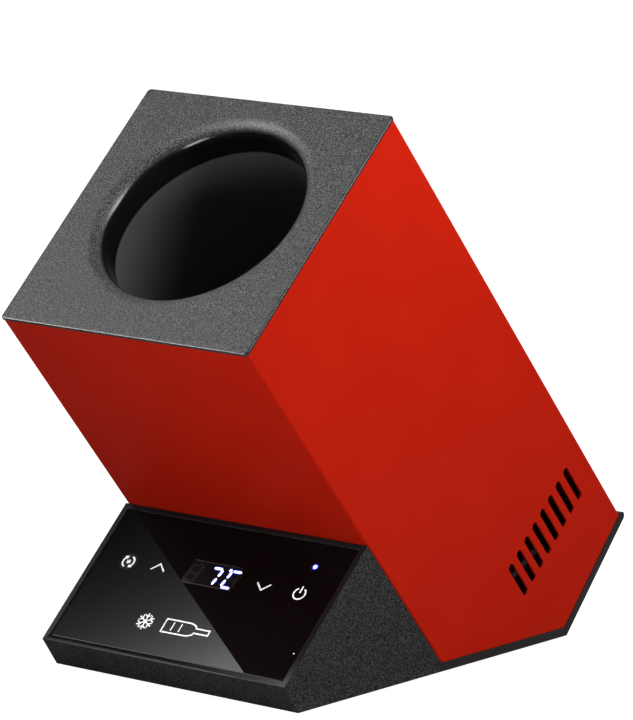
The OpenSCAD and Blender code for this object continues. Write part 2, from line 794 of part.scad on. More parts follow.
module power_lead() {
    x = plug_x[3];
    color("#3b3b3d") in_body() wire(concat([
        [50, 104.5, -271.8], [50, 98, -268], [49, 88, -266.5], [47, 74, -265], [46, 60, -262],
        [44, 48, -258.5], [40, 40, -255], [32, 28, -246.5], [22, 20, -236], [16, 13, -225]
    ], to_plug(x)), 1.4);
}

module display_ribbon() {
    ribbon_t = 0.7;
    start = side(-33, panel_z + board_t + 0.1);
    finish = [86, main_z + board_t + 7.1];
    path = [start, start + [2, -6], finish + [-1, 9], finish];
    color("#c9ccd0") at_front() across(12)
        polygon(concat(path, [for (i = [3:-1:0]) path[i] + [ribbon_t, i == 0 ? ribbon_t * tan(lean) : 0]]));
}

outer_shell();
top_cover();
cover_screws();
chamber_liner();
liner_screws();
bottle_pad();
insulation_left();
insulation_right();
cold_block();
block_screws();
temperature_probe();
peltier_module();
peltier_gasket();
heat_sink();
clamp_screws();
clamp_washers();
fan_frame();
fan_rotor();
fan_screws();
control_housing();
touch_glass();
glass_tape();
display_board();
display_screws();
digit_display();
status_led();
touch_springs();
main_board();
board_parts();
board_screws();
bottom_cover();
base_screws();
rubber_feet();
power_inlet();
fan_lead();
peltier_leads();
probe_lead();
power_lead();
display_ribbon();
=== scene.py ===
"""Looks for the single-bottle wine cooler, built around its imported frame.

Metres, +Z up, the front towards -Y. Pieces of the leaning body are made in its own frame, in millimetres:
x across, y from the front wall to the rear wall, and z up the body's axis, with the cover's top at z = 0.
"""
import json
import math

import bmesh
import bpy
from mathutils import Matrix, Vector


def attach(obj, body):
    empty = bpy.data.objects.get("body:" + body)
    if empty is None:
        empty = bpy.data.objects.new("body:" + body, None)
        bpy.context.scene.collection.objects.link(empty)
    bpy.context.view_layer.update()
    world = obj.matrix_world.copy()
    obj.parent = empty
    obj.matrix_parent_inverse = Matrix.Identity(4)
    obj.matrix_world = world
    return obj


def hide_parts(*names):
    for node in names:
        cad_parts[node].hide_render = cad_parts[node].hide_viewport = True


MM = 0.001
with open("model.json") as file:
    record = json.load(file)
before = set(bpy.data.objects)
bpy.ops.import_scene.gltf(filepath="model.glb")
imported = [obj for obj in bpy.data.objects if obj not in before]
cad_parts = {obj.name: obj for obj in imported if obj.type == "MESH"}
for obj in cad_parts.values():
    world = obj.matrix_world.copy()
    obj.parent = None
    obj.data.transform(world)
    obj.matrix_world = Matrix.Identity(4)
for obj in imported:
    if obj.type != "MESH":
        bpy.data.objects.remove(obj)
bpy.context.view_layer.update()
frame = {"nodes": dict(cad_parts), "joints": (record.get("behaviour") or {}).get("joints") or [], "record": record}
nodes = frame["nodes"]
slot_of = {row["node"]: row["material_slot"] for row in frame["record"]["subparts"]}

# ---------------------------------------------------------------- the body's own frame

spin_axis = Vector(frame["joints"][0]["axis"]).normalized()
LEAN = math.atan2(-spin_axis.y, spin_axis.z)
TURN = Matrix.Rotation(LEAN, 4, "X")


def turned_box(node):
    """Lowest and highest corners of a CAD node along the body's own axes, in metres."""
    points = [TURN.inverted() @ v.co for v in nodes[node].data.vertices]
    low = Vector(min(p[i] for p in points) for i in range(3))
    high = Vector(max(p[i] for p in points) for i in range(3))
    return low, high


shell_low, shell_high = turned_box("outer_shell")
cover_low, cover_high = turned_box("top_cover")
glass_low, glass_high = turned_box("touch_glass")
mouth = next(m for m in frame["record"]["mounts"] if m["name"] == "bottle_chamber")

BODY = TURN @ Matrix.Translation((0, shell_low.y, cover_high.z)) @ Matrix.Scale(MM, 4)
BODY_W = (shell_high.x - shell_low.x) / MM
COVER_W = (cover_high.x - cover_low.x) / MM
CHAMBER_R = mouth["dims"]["r_mm"]
AXIS_Y = ((TURN.inverted() @ Vector(mouth["pos_m"])).y - shell_low.y) / MM
MID_Y = BODY_W / 2
GLASS_TOP = (glass_high.z - cover_high.z) / MM
GLASS_T = (glass_high.z - glass_low.z) / MM
GLASS_W = (glass_high.x - glass_low.x) / MM
GLASS_FRONT = (glass_low.y - shell_low.y) / MM
GLASS_REAR = (glass_high.y - shell_low.y) / MM

# The top cover's lip, its outer edge, and the skirt inside the steel.
# The lip's polish starts LIP_SHINE below the top and is full at twice that depth.
LIP_R = 7.0
LIP_WALL = 2.6
LIP_SHINE = 2.0
THROAT_END = -16.4
COVER_EDGE = 1.6
COVER_T = 3.0
EDGE_ROUND = 0.6
EDGE_SHINE = 0.7
CORNER_R = 2.0
SKIRT_GAP = 2.0
SKIRT_T = 2.0
SKIRT_END = -7.0

# How far an edge turns before it counts as sharp, in degrees
SHARP_PIECE = 35.0
SHARP_CASE = 30.0

# ---------------------------------------------------------------- materials


class Shade:
    """A Principled material with short helpers for procedural detail in object space."""

    def __init__(self, name, color, rough, metallic=0.0, **sockets):
        self.mat = bpy.data.materials.new(name)
        self.mat.use_nodes = True
        self.tree = self.mat.node_tree
        self.bsdf = self.tree.nodes["Principled BSDF"]
        self.set("Base Color", (*color, 1.0))
        self.set("Roughness", rough)
        self.set("Metallic", metallic)
        for socket, value in sockets.items():
            self.set(socket.replace("_", " "), value)
        self.place = self.node("ShaderNodeTexCoord").outputs["Object"]

    def set(self, socket, value):
        self.bsdf.inputs[socket].default_value = value

    def node(self, kind, **values):
        made = self.tree.nodes.new(kind)
        for key, value in values.items():
            setattr(made, key, value)
        return made

    def link(self, a, b):
        self.tree.links.new(a, b)

    def stretched(self, scale):
        """Object coordinates stretched by a factor for each axis, for brushed or drawn grain."""
        mapping = self.node("ShaderNodeMapping")
        mapping.inputs["Scale"].default_value = scale
        self.link(self.place, mapping.inputs["Vector"])
        return mapping.outputs["Vector"]

    def noise(self, size, detail=2.0, rough=0.5, vector=None):
        """Noise whose features are about size millimetres across."""
        made = self.node("ShaderNodeTexNoise")
        made.inputs["Scale"].default_value = 1 / (size * MM)
        made.inputs["Detail"].default_value = detail
        made.inputs["Roughness"].default_value = rough
        self.link(vector or self.place, made.inputs["Vector"])
        return made.outputs["Fac"]

    def cells(self, size):
        """Distance from the middle of the nearest cell, for cells about size millimetres across."""
        made = self.node("ShaderNodeTexVoronoi")
        made.inputs["Scale"].default_value = 1 / (size * MM)
        self.link(self.place, made.inputs["Vector"])
        return made.outputs["Distance"]

    def ramp(self, value, low, high, to_low=0.0, to_high=1.0):
        """A straight ramp from low to high, held level outside it."""
        made = self.node("ShaderNodeMapRange")
        for key, number in zip(("From Min", "From Max", "To Min", "To Max"), (low, high, to_low, to_high)):
            made.inputs[key].default_value = number
        self.link(value, made.inputs["Value"])
        return made.outputs["Result"]

    def color_from(self, factor, a, b):
        """Base colour from a, where factor is 0, to b, where it is 1."""
        made = self.node("ShaderNodeMix", data_type="RGBA")
        made.inputs["A"].default_value = (*a, 1.0)
        made.inputs["B"].default_value = (*b, 1.0)
        self.link(factor, made.inputs["Factor"])
        self.link(made.outputs["Result"], self.bsdf.inputs["Base Color"])
        return self

    def rough_from(self, factor, low, high):
        """Roughness from low, where factor is 0, to high, where it is 1."""
        self.link(self.ramp(factor, 0.0, 1.0, low, high), self.bsdf.inputs["Roughness"])
        return self

    def bump(self, height, strength, depth):
        """Relief whose height is depth millimetres."""
        made = self.node("ShaderNodeBump")
        made.inputs["Strength"].default_value = strength
        made.inputs["Distance"].default_value = depth * MM
        self.link(height, made.inputs["Height"])
        self.link(made.outputs["Normal"], self.bsdf.inputs["Normal"])
        return self


def red_paint():
    """Satin powder coat on steel: faint orange peel and slow drift in tone."""
    s = Shade("red_paint", (0.6, 0.016, 0.0045), 0.42, Specular_IOR_Level=0.03)
    s.color_from(s.ramp(s.noise(38, 1.0), 0.3, 0.7), (0.585, 0.0150, 0.0042), (0.615, 0.0170, 0.0048))
    s.rough_from(s.ramp(s.noise(2.2, 2.0), 0.3, 0.7), 0.38, 0.46)
    return s.bump(s.noise(1.6, 2.0), 0.25, 0.012)


def spark_texture(name, dark, light, size, gloss, polish_of):
    """Black plastic from a spark-eroded mould: fine grain relief, with lighter speckles painted into its colour as
    painted glints, both lost where it is polished.
    """
    s = Shade(name, dark, 0.5, Specular_IOR_Level=gloss)
    polish = polish_of(s)
    grain = s.node("ShaderNodeMath", operation="MULTIPLY")
    s.link(s.ramp(s.noise(size, 2.0, 0.6), 0.46, 0.62), grain.inputs[0])
    s.link(s.ramp(polish, 0.0, 1.0, 1.0, 0.0), grain.inputs[1])
    # The lighter colour paints glints into the grain: painted highlight, not the plastic's own tone.
    s.color_from(grain.outputs["Value"], dark, light)
    s.rough_from(polish, 0.46, 0.16)
    return s.bump(grain.outputs["Value"], 0.9, 0.05)


def marked_polish(s):
    """Polish from the mesh attribute of that name."""
    return s.node("ShaderNodeAttribute", attribute_name="polish").outputs["Fac"]


def rim_polish(s):
    """Polish on faces that look along the body's axis, which are the pod's rim."""
    facing = s.node("ShaderNodeVectorMath", operation="DOT_PRODUCT")
    s.link(s.node("ShaderNodeTexCoord").outputs["Normal"], facing.inputs[0])
    facing.inputs[1].default_value = (0, -math.sin(LEAN), math.cos(LEAN))
    return s.ramp(facing.outputs["Value"], 0.80, 0.97)


def black_glass():
    """Glass printed black from behind, very slightly wavy."""
    s = Shade("black_glass", (0.001, 0.001, 0.0013), 0.01, IOR=1.16)
    s.rough_from(s.ramp(s.noise(30, 2.0), 0.35, 0.7), 0.004, 0.012)
    return s.bump(s.noise(45, 1.0), 0.02, 0.05)


def liner_metal():
    """Black anodised aluminium, drawn along the axis."""
    s = Shade("liner_metal", (0.10, 0.10, 0.098), 0.3, Specular_IOR_Level=0.5)
    streaks = s.noise(5.0, 1.0, vector=s.stretched((1, 1, 0.15)))
    s.color_from(streaks, (0.095, 0.095, 0.093), (0.105, 0.105, 0.103))
    return s.rough_from(streaks, 0.27, 0.33)


def metal(name, color, rough, grain=(1, 1, 1), size=0.8):
    """Bare metal with a fine grain, drawn out along the axes where grain is small."""
    s = Shade(name, color, rough, 1.0)
    fine = s.noise(size, 3.0, vector=s.stretched(grain))
    s.color_from(fine, [c * 0.85 for c in color], color)
    s.rough_from(s.ramp(fine, 0.3, 0.7), rough * 0.8, rough * 1.25)
    return s.bump(fine, 0.2, 0.01)


def plain(name, color, rough, size=1.2, relief=0.02, spread=0.2, **sockets):
    """Moulded plastic or rubber with a little uneven tone and relief."""
    s = Shade(name, color, rough, **sockets)
    fine = s.noise(size, 3.0)
    s.color_from(fine, [c * (1 - spread) for c in color], [min(1.0, c * (1 + spread)) for c in color])
    s.rough_from(s.ramp(fine, 0.3, 0.7), rough * 0.85, min(1.0, rough * 1.15))
    return s.bump(fine, 0.3, relief)


def foam():
    """Expanded polystyrene: pressed beads a few millimetres across."""
    s = Shade("foam", (0.86, 0.86, 0.83), 0.8)
    bead = s.cells(3.4)
    s.color_from(bead, (0.90, 0.90, 0.87), (0.74, 0.74, 0.71))
    return s.bump(s.ramp(bead, 0.0, 0.7, 1.0, 0.0), 0.7, 0.4)


def circuit_board():
    """Solder resist over copper: wide bands of two greens with a fine weave."""
    s = Shade("circuit_board", (0.01, 0.10, 0.045), 0.28)
    copper = s.ramp(s.cells(4.5), 0.30, 0.36)
    s.color_from(copper, (0.008, 0.085, 0.04), (0.012, 0.15, 0.06))
    return s.bump(copper, 0.4, 0.03)


def glow(name, color, strength):
    """A lamp or lit digit that shows its own colour in the dark; the white print uses it too, where the glow is
    painted light.
    """
    s = Shade(name, color, 0.4)
    s.set("Emission Color", (*color, 1.0))
    s.set("Emission Strength", strength)
    return s.rough_from(s.noise(0.6), 0.35, 0.45)


SLOTS = {
    "red_paint": red_paint(),
    # Its lighter colour is painted glints in the grain.
    "black_texture": spark_texture("black_texture", (0.010, 0.010, 0.011), (0.098, 0.098, 0.099), 0.6, 0.10,
                                   rim_polish),
    "liner": liner_metal(),
    "rubber": plain("rubber", (0.02, 0.02, 0.021), 0.75, 0.5),
    "foam": foam(),
    "aluminium": metal("aluminium", (0.78, 0.79, 0.81), 0.32, (0.12, 1, 1)),
    "ceramic": plain("ceramic", (0.86, 0.85, 0.80), 0.55, 0.4, 0.01, 0.05),
    "gasket": plain("gasket", (0.10, 0.105, 0.115), 0.9, 0.7, 0.08),
    "screw_steel": metal("screw_steel", (0.66, 0.67, 0.69), 0.26, size=0.3),
    "fan_plastic": plain("fan_plastic", (0.022, 0.022, 0.024), 0.42, 0.8, 0.02),
    "washer_plastic": plain("washer_plastic", (0.80, 0.78, 0.68), 0.45, 1.0, 0.01, 0.06),
    "black_glass": black_glass(),
    "tape": plain("tape", (0.03, 0.03, 0.03), 0.9, 0.4, 0.05),
    "circuit_board": circuit_board(),
    "display": plain("display", (0.025, 0.025, 0.03), 0.3, 1.5, 0.01),
    "led": glow("led", (0.35, 0.45, 1.0), 2.0),
    "spring_brass": metal("spring_brass", (0.75, 0.56, 0.30), 0.25, size=0.2),
    "electronic": plain("electronic", (0.32, 0.31, 0.29), 0.4, 1.4, 0.02, 0.35),
    "jack_plastic": plain("jack_plastic", (0.018, 0.018, 0.019), 0.4, 0.6),
    "lead_sheath": plain("lead_sheath", (0.03, 0.03, 0.032), 0.5, 0.8),
    "ribbon": metal("ribbon", (0.72, 0.74, 0.77), 0.4, (1, 8, 8), 0.5),
}
for name, piece in nodes.items():
    piece.data.materials.clear()
    piece.data.materials.append(SLOTS[slot_of[name]].mat)
nodes["heat_sink"].data.materials[0] = metal("black_anodised", (0.02, 0.02, 0.021), 0.45, (0.12, 1, 1)).mat

# ---------------------------------------------------------------- mesh helpers


def add_piece(name, verts, faces, shade, slot, place=BODY, replaces=None):
    """A piece from points in the body's frame, or in place's."""
    mesh = bpy.data.meshes.new(name)
    mesh.from_pydata(verts, [], faces)
    mesh.transform(place)
    bm = bmesh.new()
    bm.from_mesh(mesh)
    bmesh.ops.recalc_face_normals(bm, faces=bm.faces)
    smooth_faces(bm, SHARP_PIECE)
    bm.to_mesh(mesh)
    bm.free()
    mesh.materials.append(shade.mat)
    return settle(name, mesh, replaces)


def settle(name, mesh, replaces):
    """An object for a mesh, riding on the cooler's body."""
    obj = bpy.data.objects.new(name, mesh)
    bpy.context.scene.collection.objects.link(obj)
    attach(obj, "cooler")
    if replaces:
        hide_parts(replaces)
    return obj


def smooth_faces(bm, degrees):
    """Smooth faces, with sharp edges where the surface turns by more than degrees."""
    for face in bm.faces:
        face.smooth = True
    for edge in bm.edges:
        edge.smooth = len(edge.link_faces) == 2 and edge.calc_face_angle(0.0) < math.radians(degrees)


def eased_copy(node, name, width, shade=None):
    """A copy of a CAD node with its sharp edges rounded to width millimetres, shown in the node's place."""
    mesh = nodes[node].data.copy()
    mesh.name = name
    bm = bmesh.new()
    bm.from_mesh(mesh)
    bmesh.ops.remove_doubles(bm, verts=bm.verts, dist=0.002 * MM)
    bmesh.ops.dissolve_limit(bm, angle_limit=math.radians(1.0), verts=bm.verts, edges=bm.edges)
    smooth_faces(bm, SHARP_CASE)
    bm.to_mesh(mesh)
    bm.free()
    if mesh.has_custom_normals:
        mesh.normals_split_custom_set([(0.0, 0.0, 0.0)] * len(mesh.loops))
    if shade:
        mesh.materials.clear()
        mesh.materials.append(shade.mat)
    piece = settle(name, mesh, node)
    bevel = piece.modifiers.new("ease", "BEVEL")
    bevel.width = width * MM
    bevel.segments = 3
    bevel.limit_method = "ANGLE"
    bevel.angle_limit = math.radians(SHARP_CASE)
    bevel.use_clamp_overlap = True
    bevel.harden_normals = True
    bevel.miter_outer = "MITER_ARC"
    return piece


def ring_faces(count, rings, closed):
    """Quads between rings of count points each, numbered one after another; closed joins last to first."""
    faces = []
    for j in range(rings if closed else rings - 1):
        a, b = j * count, ((j + 1) % rings) * count
        faces += [(a + i, a + (i + 1) % count, b + (i + 1) % count, b + i) for i in range(count)]
    return faces


def stacked(rings):
    """A closed solid from equal rings laid one on another, as verts and faces."""
    count = len(rings[0])
    last = (len(rings) - 1) * count
    faces = ring_faces(count, len(rings), False)
    faces += [tuple(range(count))[::-1], tuple(last + i for i in range(count))]
    return [p for ring in rings for p in ring], faces


def square_angles(half, r, count):
    """Even directions from the centre of a rounded square, with extra ones on its corner arcs."""
    corner_steps = 8
    found = {2 * math.pi * i / count for i in range(count)}
    for quarter in range(4):
        turn = quarter * math.pi / 2
        for k in range(corner_steps + 1):
            a = math.pi / 2 * k / corner_steps
            x, y = half - r + r * math.cos(a), half - r + r * math.sin(a)
            found.add((math.atan2(y, x) + turn) % (2 * math.pi))
    kept = []
    for angle in sorted(found):
        if not kept or angle - kept[-1] > 1e-4:
            kept.append(angle)
    return kept


def on_square(angle, half, r):
    """The point of a rounded square that lies in a direction from its centre."""
    c, s = abs(math.cos(angle)), abs(math.sin(angle))
    reach = min(half / c if c > 1e-9 else 1e9, half / s if s > 1e-9 else 1e9)
    inner = half - r
    if reach * c > inner and reach * s > inner:
        along = inner * (c + s)
        reach = along + math.sqrt(max(0.0, along * along - 2 * inner * inner + r * r))
    return reach * math.cos(angle), reach * math.sin(angle)


def plate_ring(steps, half_x, half_y, r, z, center=(0, 0)):
    """A ring of points on a rounded rectangle, with steps to each corner."""
    ring = []
    for quadrant, (sx, sy) in enumerate(((1, 1), (-1, 1), (-1, -1), (1, -1))):
        for k in range(steps + 1):
            a = math.pi / 2 * (quadrant + k / steps)
            ring.append((center[0] + sx * (half_x - r) + r * math.cos(a),
                         center[1] + sy * (half_y - r) + r * math.sin(a), z))
    return ring


# ---------------------------------------------------------------- top cover


def arc(center, r, start, end, steps):
    """Points [r, z] on an arc, angles in degrees."""
    turns = [math.radians(start + (end - start) * k / steps) for k in range(steps + 1)]
    return [(center[0] + r * math.cos(a), center[1] + r * math.sin(a)) for a in turns]


def top_cover():
    """One moulding: throat, soft lip, flat plate, rounded edge and the skirt inside the steel."""
    lip_c = CHAMBER_R + LIP_R
    half = COVER_W / 2
    angles = square_angles(half, CORNER_R, 192)
    rings, polish = [], []

    def circle(r, z, shine=0.0):
        rings.append([(r * math.cos(a), AXIS_Y + r * math.sin(a), z) for a in angles])
        polish.append(shine)

    def square(h, r, z, shine=0.0):
        points = [on_square(a, h, r) for a in angles]
        rings.append([(x, MID_Y + y, z) for x, y in points])
        polish.append(shine)

    def between(share, z):
        outer = [on_square(a, half - EDGE_ROUND, CORNER_R - EDGE_ROUND / 2) for a in angles]
        inner = [(lip_c * math.cos(a), AXIS_Y + lip_c * math.sin(a)) for a in angles]
        rings.append([(i[0] + (o[0] - i[0]) * share, i[1] + (MID_Y + o[1] - i[1]) * share, z)
                      for i, o in zip(inner, outer)])
        polish.append(0.0)

    circle(CHAMBER_R + 0.4, THROAT_END, 1.0)
    circle(CHAMBER_R, THROAT_END + 0.4, 1.0)
    for r, z in arc((lip_c, -LIP_R), LIP_R, 180, 90, 28):
        circle(r, z, min(1.0, max(0.0, -z / LIP_SHINE - 1.0)))
    for share in (0.04, 0.1, 0.25, 0.5, 0.75, 0.92, 0.985):
        between(share, 0.0)
    for h, z in arc((half - EDGE_ROUND, -EDGE_ROUND), EDGE_ROUND, 90, 0, 5):
        square(h, CORNER_R - (half - h) / 2, z, EDGE_SHINE)
    square(half, CORNER_R, -COVER_EDGE + 0.25, EDGE_SHINE)
    square(half - 0.25, CORNER_R, -COVER_EDGE, EDGE_SHINE)
    square(half - SKIRT_GAP, CORNER_R, -COVER_EDGE)
    square(half - SKIRT_GAP, CORNER_R, SKIRT_END + 0.3)
    square(half - SKIRT_GAP - 0.3, CORNER_R, SKIRT_END)
    square(half - SKIRT_GAP - SKIRT_T, CORNER_R, SKIRT_END)
    square(half - SKIRT_GAP - SKIRT_T, CORNER_R, -COVER_T)
    circle(lip_c + 0.5, -COVER_T)
    for r, z in arc((lip_c, -LIP_R), LIP_R - LIP_WALL, 85, 180, 12):
        circle(r, z)
    circle(CHAMBER_R + LIP_WALL, THROAT_END, 0.5)
    # The lighter colour paints glints into the cover's grain: painted highlight.
    dark, light = (0.006, 0.006, 0.006), (0.25, 0.25, 0.25)
    shade = spark_texture("cover_plastic_painted_glints", dark, light, 0.52, 0.5, marked_polish)
    verts = [p for ring in rings for p in ring]
    faces = ring_faces(len(angles), len(rings), True)
    obj = add_piece("top_cover_moulding", verts, faces, shade, "black_texture", replaces="top_cover")
    shine = obj.data.attributes.new("polish", "FLOAT", "POINT")
    shine.data.foreach_set("value", [level for level in polish for _ in angles])


top_cover()

# ---------------------------------------------------------------- steel, housing, base

eased_copy("outer_shell", "steel_sleeve", 0.28)
eased_copy("control_housing", "pod_housing", 0.55)
eased_copy("bottom_cover", "base_cover", 0.35, shade=plain("base_plastic", (0.012, 0.012, 0.012), 0.22, 0.9))
eased_copy("power_inlet", "socket", 0.2)


def dust_screen_and_shade_sheet():
    """A thin near-black foam sheet against the inside of the slanted panel, behind its inlet slots: a dust filter
    that also stands in for the shade inside the casing seen through the slots.
    """
    width, height, corner = 104, 50, 3
    middle, tilt = (-0.0105, 0.1245, 0.0308), math.radians(47.65)
    place = Matrix.Translation(middle) @ Matrix.Rotation(tilt, 4, "X") @ Matrix.Scale(MM, 4)
    profile = ((0, 0.1), (0, 0.7), (0.2, 0.9))
    rings = [plate_ring(6, width / 2 - inset, height / 2 - inset, corner, z) for inset, z in profile]
    # Near black so the casing seen through the slots reads as shade: a painted-shade sheet as well as a filter.
    shade = plain("shade_black_filter_foam", (0.006, 0.006, 0.006), 0.95, 0.6, 0.1)
    add_piece("dust_screen_and_shade_sheet", *stacked(rings), shade, "gasket", place=place)


dust_screen_and_shade_sheet()

# ---------------------------------------------------------------- touch glass and its marks


def touch_glass():
    """A slab with ground edges; the last ring lies in the top face and keeps its reflections straight."""
    half_x, half_y = GLASS_W / 2, (GLASS_REAR - GLASS_FRONT) / 2
    center = (0, (GLASS_REAR + GLASS_FRONT) / 2)
    ease, corner = 0.35, 1.2
    profile = [(ease, GLASS_TOP - GLASS_T), (0.0, GLASS_TOP - GLASS_T + ease)]
    profile += arc((ease, GLASS_TOP - ease), ease, 180, 90, 3)
    profile.append((ease + 0.2, GLASS_TOP))
    rings = [plate_ring(6, half_x - inset, half_y - inset, corner, z, center) for inset, z in profile]
    add_piece("glass_panel", *stacked(rings), SLOTS["black_glass"], "black_glass", replaces="touch_glass")


touch_glass()

MARK_T = 0.04
LINE = 0.75
FINE_LINE = 0.6
KEY_DOWN = 31.3
KEY_R = 3.1
# White print made to glow: painted light, since print is no lamp.
GLOWING_PRINT = glow("glowing_white_print", (0.86, 0.87, 0.90), 0.55)
SEGMENT_LIT = glow("segment_lit", (0.62, 0.70, 1.0), 3.2)
SEGMENT_HALO = glow("segment_halo", (0.012, 0.02, 0.75), 0.55)
SEGMENT_OFF = plain("segment_off", (0.060, 0.058, 0.040), 0.35, 0.8, 0.005, Specular_IOR_Level=0.1)
WINDOW_FACE = plain("display_window", (0.004, 0.0045, 0.0065), 0.12, 2.0, 0.002, Specular_IOR_Level=0.1)
WINDOW_EDGE = plain("display_edge", (0.05, 0.05, 0.052), 0.3, 1.0, 0.005, Specular_IOR_Level=0.1)


def on_glass(x, down, lift=0.0):
    """A point on the glass: down is counted from the body's front wall."""
    return (x, -down, GLASS_TOP + lift)


def outline(points, lift, thick=MARK_T):
    """A thin raised shape from a closed outline in [x, down], as verts and faces."""
    n = len(points)
    verts = [on_glass(x, d, lift) for x, d in points] + [on_glass(x, d, lift + thick) for x, d in points]
    faces = [tuple(range(n))[::-1], tuple(range(n, 2 * n))]
    faces += [(i, (i + 1) % n, n + (i + 1) % n, n + i) for i in range(n)]
    return verts, faces


def stroke(path, width, lift=0.0, closed=False):
    """A line of even width along a path in [x, down], with mitred corners, as verts and faces."""
    left, right = [], []
    n = len(path)
    for i, p in enumerate(path):
        before = path[(i - 1) % n] if closed or i else None
        after = path[(i + 1) % n] if closed or i < n - 1 else None
        a = Vector(p) - Vector(before) if before else Vector(after) - Vector(p)
        b = Vector(after) - Vector(p) if after else a
        a, b = a.normalized(), b.normalized()
        normal = Vector((-(a.y + b.y), a.x + b.x))
        normal = normal.normalized() / max(0.35, math.sqrt((1 + a.dot(b)) / 2))
        left.append(Vector(p) + normal * width / 2)
        right.append(Vector(p) - normal * width / 2)
    verts, faces = [], []
    for row, height in ((left, lift), (right, lift), (right, lift + MARK_T), (left, lift + MARK_T)):
        verts += [on_glass(p.x, p.y, height) for p in row]
    for i in range(n if closed else n - 1):
        j = (i + 1) % n
        faces += [(r * n + i, r * n + j, ((r + 1) % 4) * n + j, ((r + 1) % 4) * n + i) for r in range(4)]
    if not closed:
        faces += [(0, n, 2 * n, 3 * n), (n - 1, 2 * n - 1, 3 * n - 1, 4 * n - 1)]
    return verts, faces


def spoke(x, down, r, turn):
    """The point at a distance from x, down, with turn in degrees clockwise from the top."""
    return x + r * math.sin(math.radians(turn)), down - r * math.cos(math.radians(turn))


def arc_path(x, down, r, start, end, steps):
    """Points on a circle on the glass, angles in degrees clockwise from the top."""
    return [spoke(x, down, r, start + (end - start) * k / steps) for k in range(steps + 1)]


def disc(x, down, r, lift=0.0, thick=MARK_T, count=24):
    """A round dot on the glass, with count corners, as verts and faces."""
    return outline(arc_path(x, down, r, 0, 360 - 360 / count, count - 1), lift, thick)


def mark(name, parts, shade, slot="black_glass"):
    """One piece on the glass from parts given as verts and faces."""
    verts, faces = [], []
    for part_verts, part_faces in parts:
        base = len(verts)
        verts += part_verts
        faces += [tuple(base + i for i in face) for face in part_faces]
    add_piece(name, verts, faces, shade, slot)


def power_key(x):
    """An open ring with a bar through its gap."""
    ring = stroke(arc_path(x, KEY_DOWN, KEY_R, 32, 328, 32), LINE)
    bar = stroke([(x, KEY_DOWN - KEY_R - 1.0), (x, KEY_DOWN - 0.4)], LINE)
    mark("mark_power", [ring, bar], GLOWING_PRINT)


def chevron_key(name, x, rise):
    """An arrowhead that points up where rise is above zero, and down below it."""
    half = 3.9
    path = [(x - half, KEY_DOWN + rise), (x, KEY_DOWN - rise), (x + half, KEY_DOWN + rise)]
    mark(name, [stroke(path, LINE)], GLOWING_PRINT)


def mode_key(x):
    """Two curved arrows around a small star on a dark dot: change of mode."""
    lift = MARK_T / 2
    mark("mark_mode_ground", [disc(x, KEY_DOWN, 4.6, 0.0, lift, 45)], WINDOW_FACE)
    parts = []
    for turn in (20, 200):
        parts.append(stroke(arc_path(x, KEY_DOWN, KEY_R, turn, turn + 118, 14), 0.8, lift))
        nose = spoke(x, KEY_DOWN, KEY_R, turn + 134)
        for r in (KEY_R - 0.9, KEY_R + 0.9):
            parts.append(stroke([spoke(x, KEY_DOWN, r, turn + 108), nose], FINE_LINE, lift))
    for turn in (0, 60, 120):
        parts.append(stroke(arc_path(x, KEY_DOWN, 1.25, turn, turn + 180, 1), 0.42, lift))
    mark("mark_mode", parts, GLOWING_PRINT)


def snowflake(x, down):
    """Six arms with two twigs each, as a list of parts."""
    parts = []
    for turn in range(0, 360, 60):
        parts.append(stroke([(x, down), spoke(x, down, 4.6, turn)], 0.7))
        root = spoke(x, down, 2.5, turn)
        parts += [stroke([root, spoke(x, down, 4.2, turn + side)], FINE_LINE) for side in (-26, 26)]
    return parts


def bottle(foot, down):
    """A bottle on its side, its base at foot, with two lines for its label, as a list of parts."""
    body_r, neck_r = 3.6, 1.3
    shoulder, shoulder_long, end = foot + 13, 5, foot + 26
    upper = [(foot, -body_r), (shoulder, -body_r)]
    for turn in range(18, 91, 18):
        a = math.radians(turn)
        upper.append((shoulder + shoulder_long * math.sin(a), -neck_r - (body_r - neck_r) * math.cos(a)))
    upper.append((end, -neck_r))
    shape = [(px, down + py) for px, py in upper] + [(px, down - py) for px, py in upper[::-1]]
    parts = [stroke(shape, LINE, closed=True)]
    half = body_r - 1.3
    for x in (foot + 5, foot + 9.5):
        parts.append(stroke([(x, down - half), (x, down + half)], FINE_LINE))
    return parts


mode_key(-49.8)
chevron_key("mark_up", -31.7, 1.9)
chevron_key("mark_down", 28.7, -1.9)
power_key(49.7)
mark("mark_pictogram", snowflake(-21.6, 61.0) + bottle(-10.6, 61.0), GLOWING_PRINT)

# ---------------------------------------------------------------- digits behind the glass

DIGIT_W, DIGIT_H, DIGIT_LEAN = 5.8, 9.4, 0.21
DIGIT_X = (-14.6, -3.4, 7.6)
DIGIT_DOWN = 26.2
BAR = 1.15
BAR_GAP = 0.42
WINDOW_LEFT, WINDOW_RIGHT, WINDOW_TOP, WINDOW_BOTTOM = -15.4, 13.2, 23.2, 37.0

# Both ends of each bar, as shares of a digit's width and height from its upper left
SEGMENTS = {
    "a": ((0, 0), (1, 0)), "b": ((1, 0), (1, 0.5)), "c": ((1, 0.5), (1, 1)), "d": ((0, 1), (1, 1)),
    "e": ((0, 0.5), (0, 1)), "f": ((0, 0), (0, 0.5)), "g": ((0, 0.5), (1, 0.5)),
}


